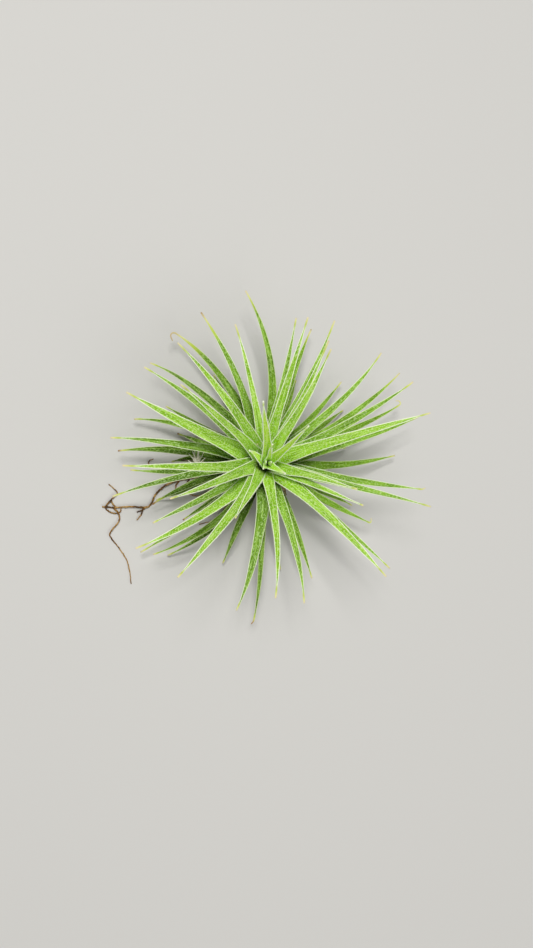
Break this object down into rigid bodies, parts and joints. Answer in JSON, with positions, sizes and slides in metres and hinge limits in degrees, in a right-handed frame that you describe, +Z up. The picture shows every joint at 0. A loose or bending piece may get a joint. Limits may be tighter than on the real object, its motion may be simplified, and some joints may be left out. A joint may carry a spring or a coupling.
{
  "type": "air plant",
  "caption": "Small rosette air plant with narrow channelled leaves arching from a short stem, a pale heart, dry old leaves and wiry roots; stands on its stem end.",
  "frame": {"origin": "middle of the flat underside of the stem, on the surface that the plant stands on", "axes": "+Z up along the stem through the heart; +X to the right and +Y to the top of the picture; the longest roots trail towards -X"},
  "size_m": [0.0854, 0.0889, 0.0487],
  "materials": {
    "stem_and_roots": "dry brown woody stem and wiry roots",
    "dry_leaf": "papery, tan and grey, frayed",
    "lower_leaf": "deep green under pale frosty scales",
    "middle_leaf": "mid green under pale frosty scales",
    "upper_leaf": "bright yellow-green with a white fringe",
    "heart_leaf": "pale lime young leaves with white margins"
  },
  "bodies": {
    "root": {"stem_with_roots": "stem_and_roots", "dry_leaves": "dry_leaf", "lower_leaves": "lower_leaf", "middle_leaves": "middle_leaf", "upper_leaves": "upper_leaf", "heart_leaves": "heart_leaf"}
  },
  "joints": []
}
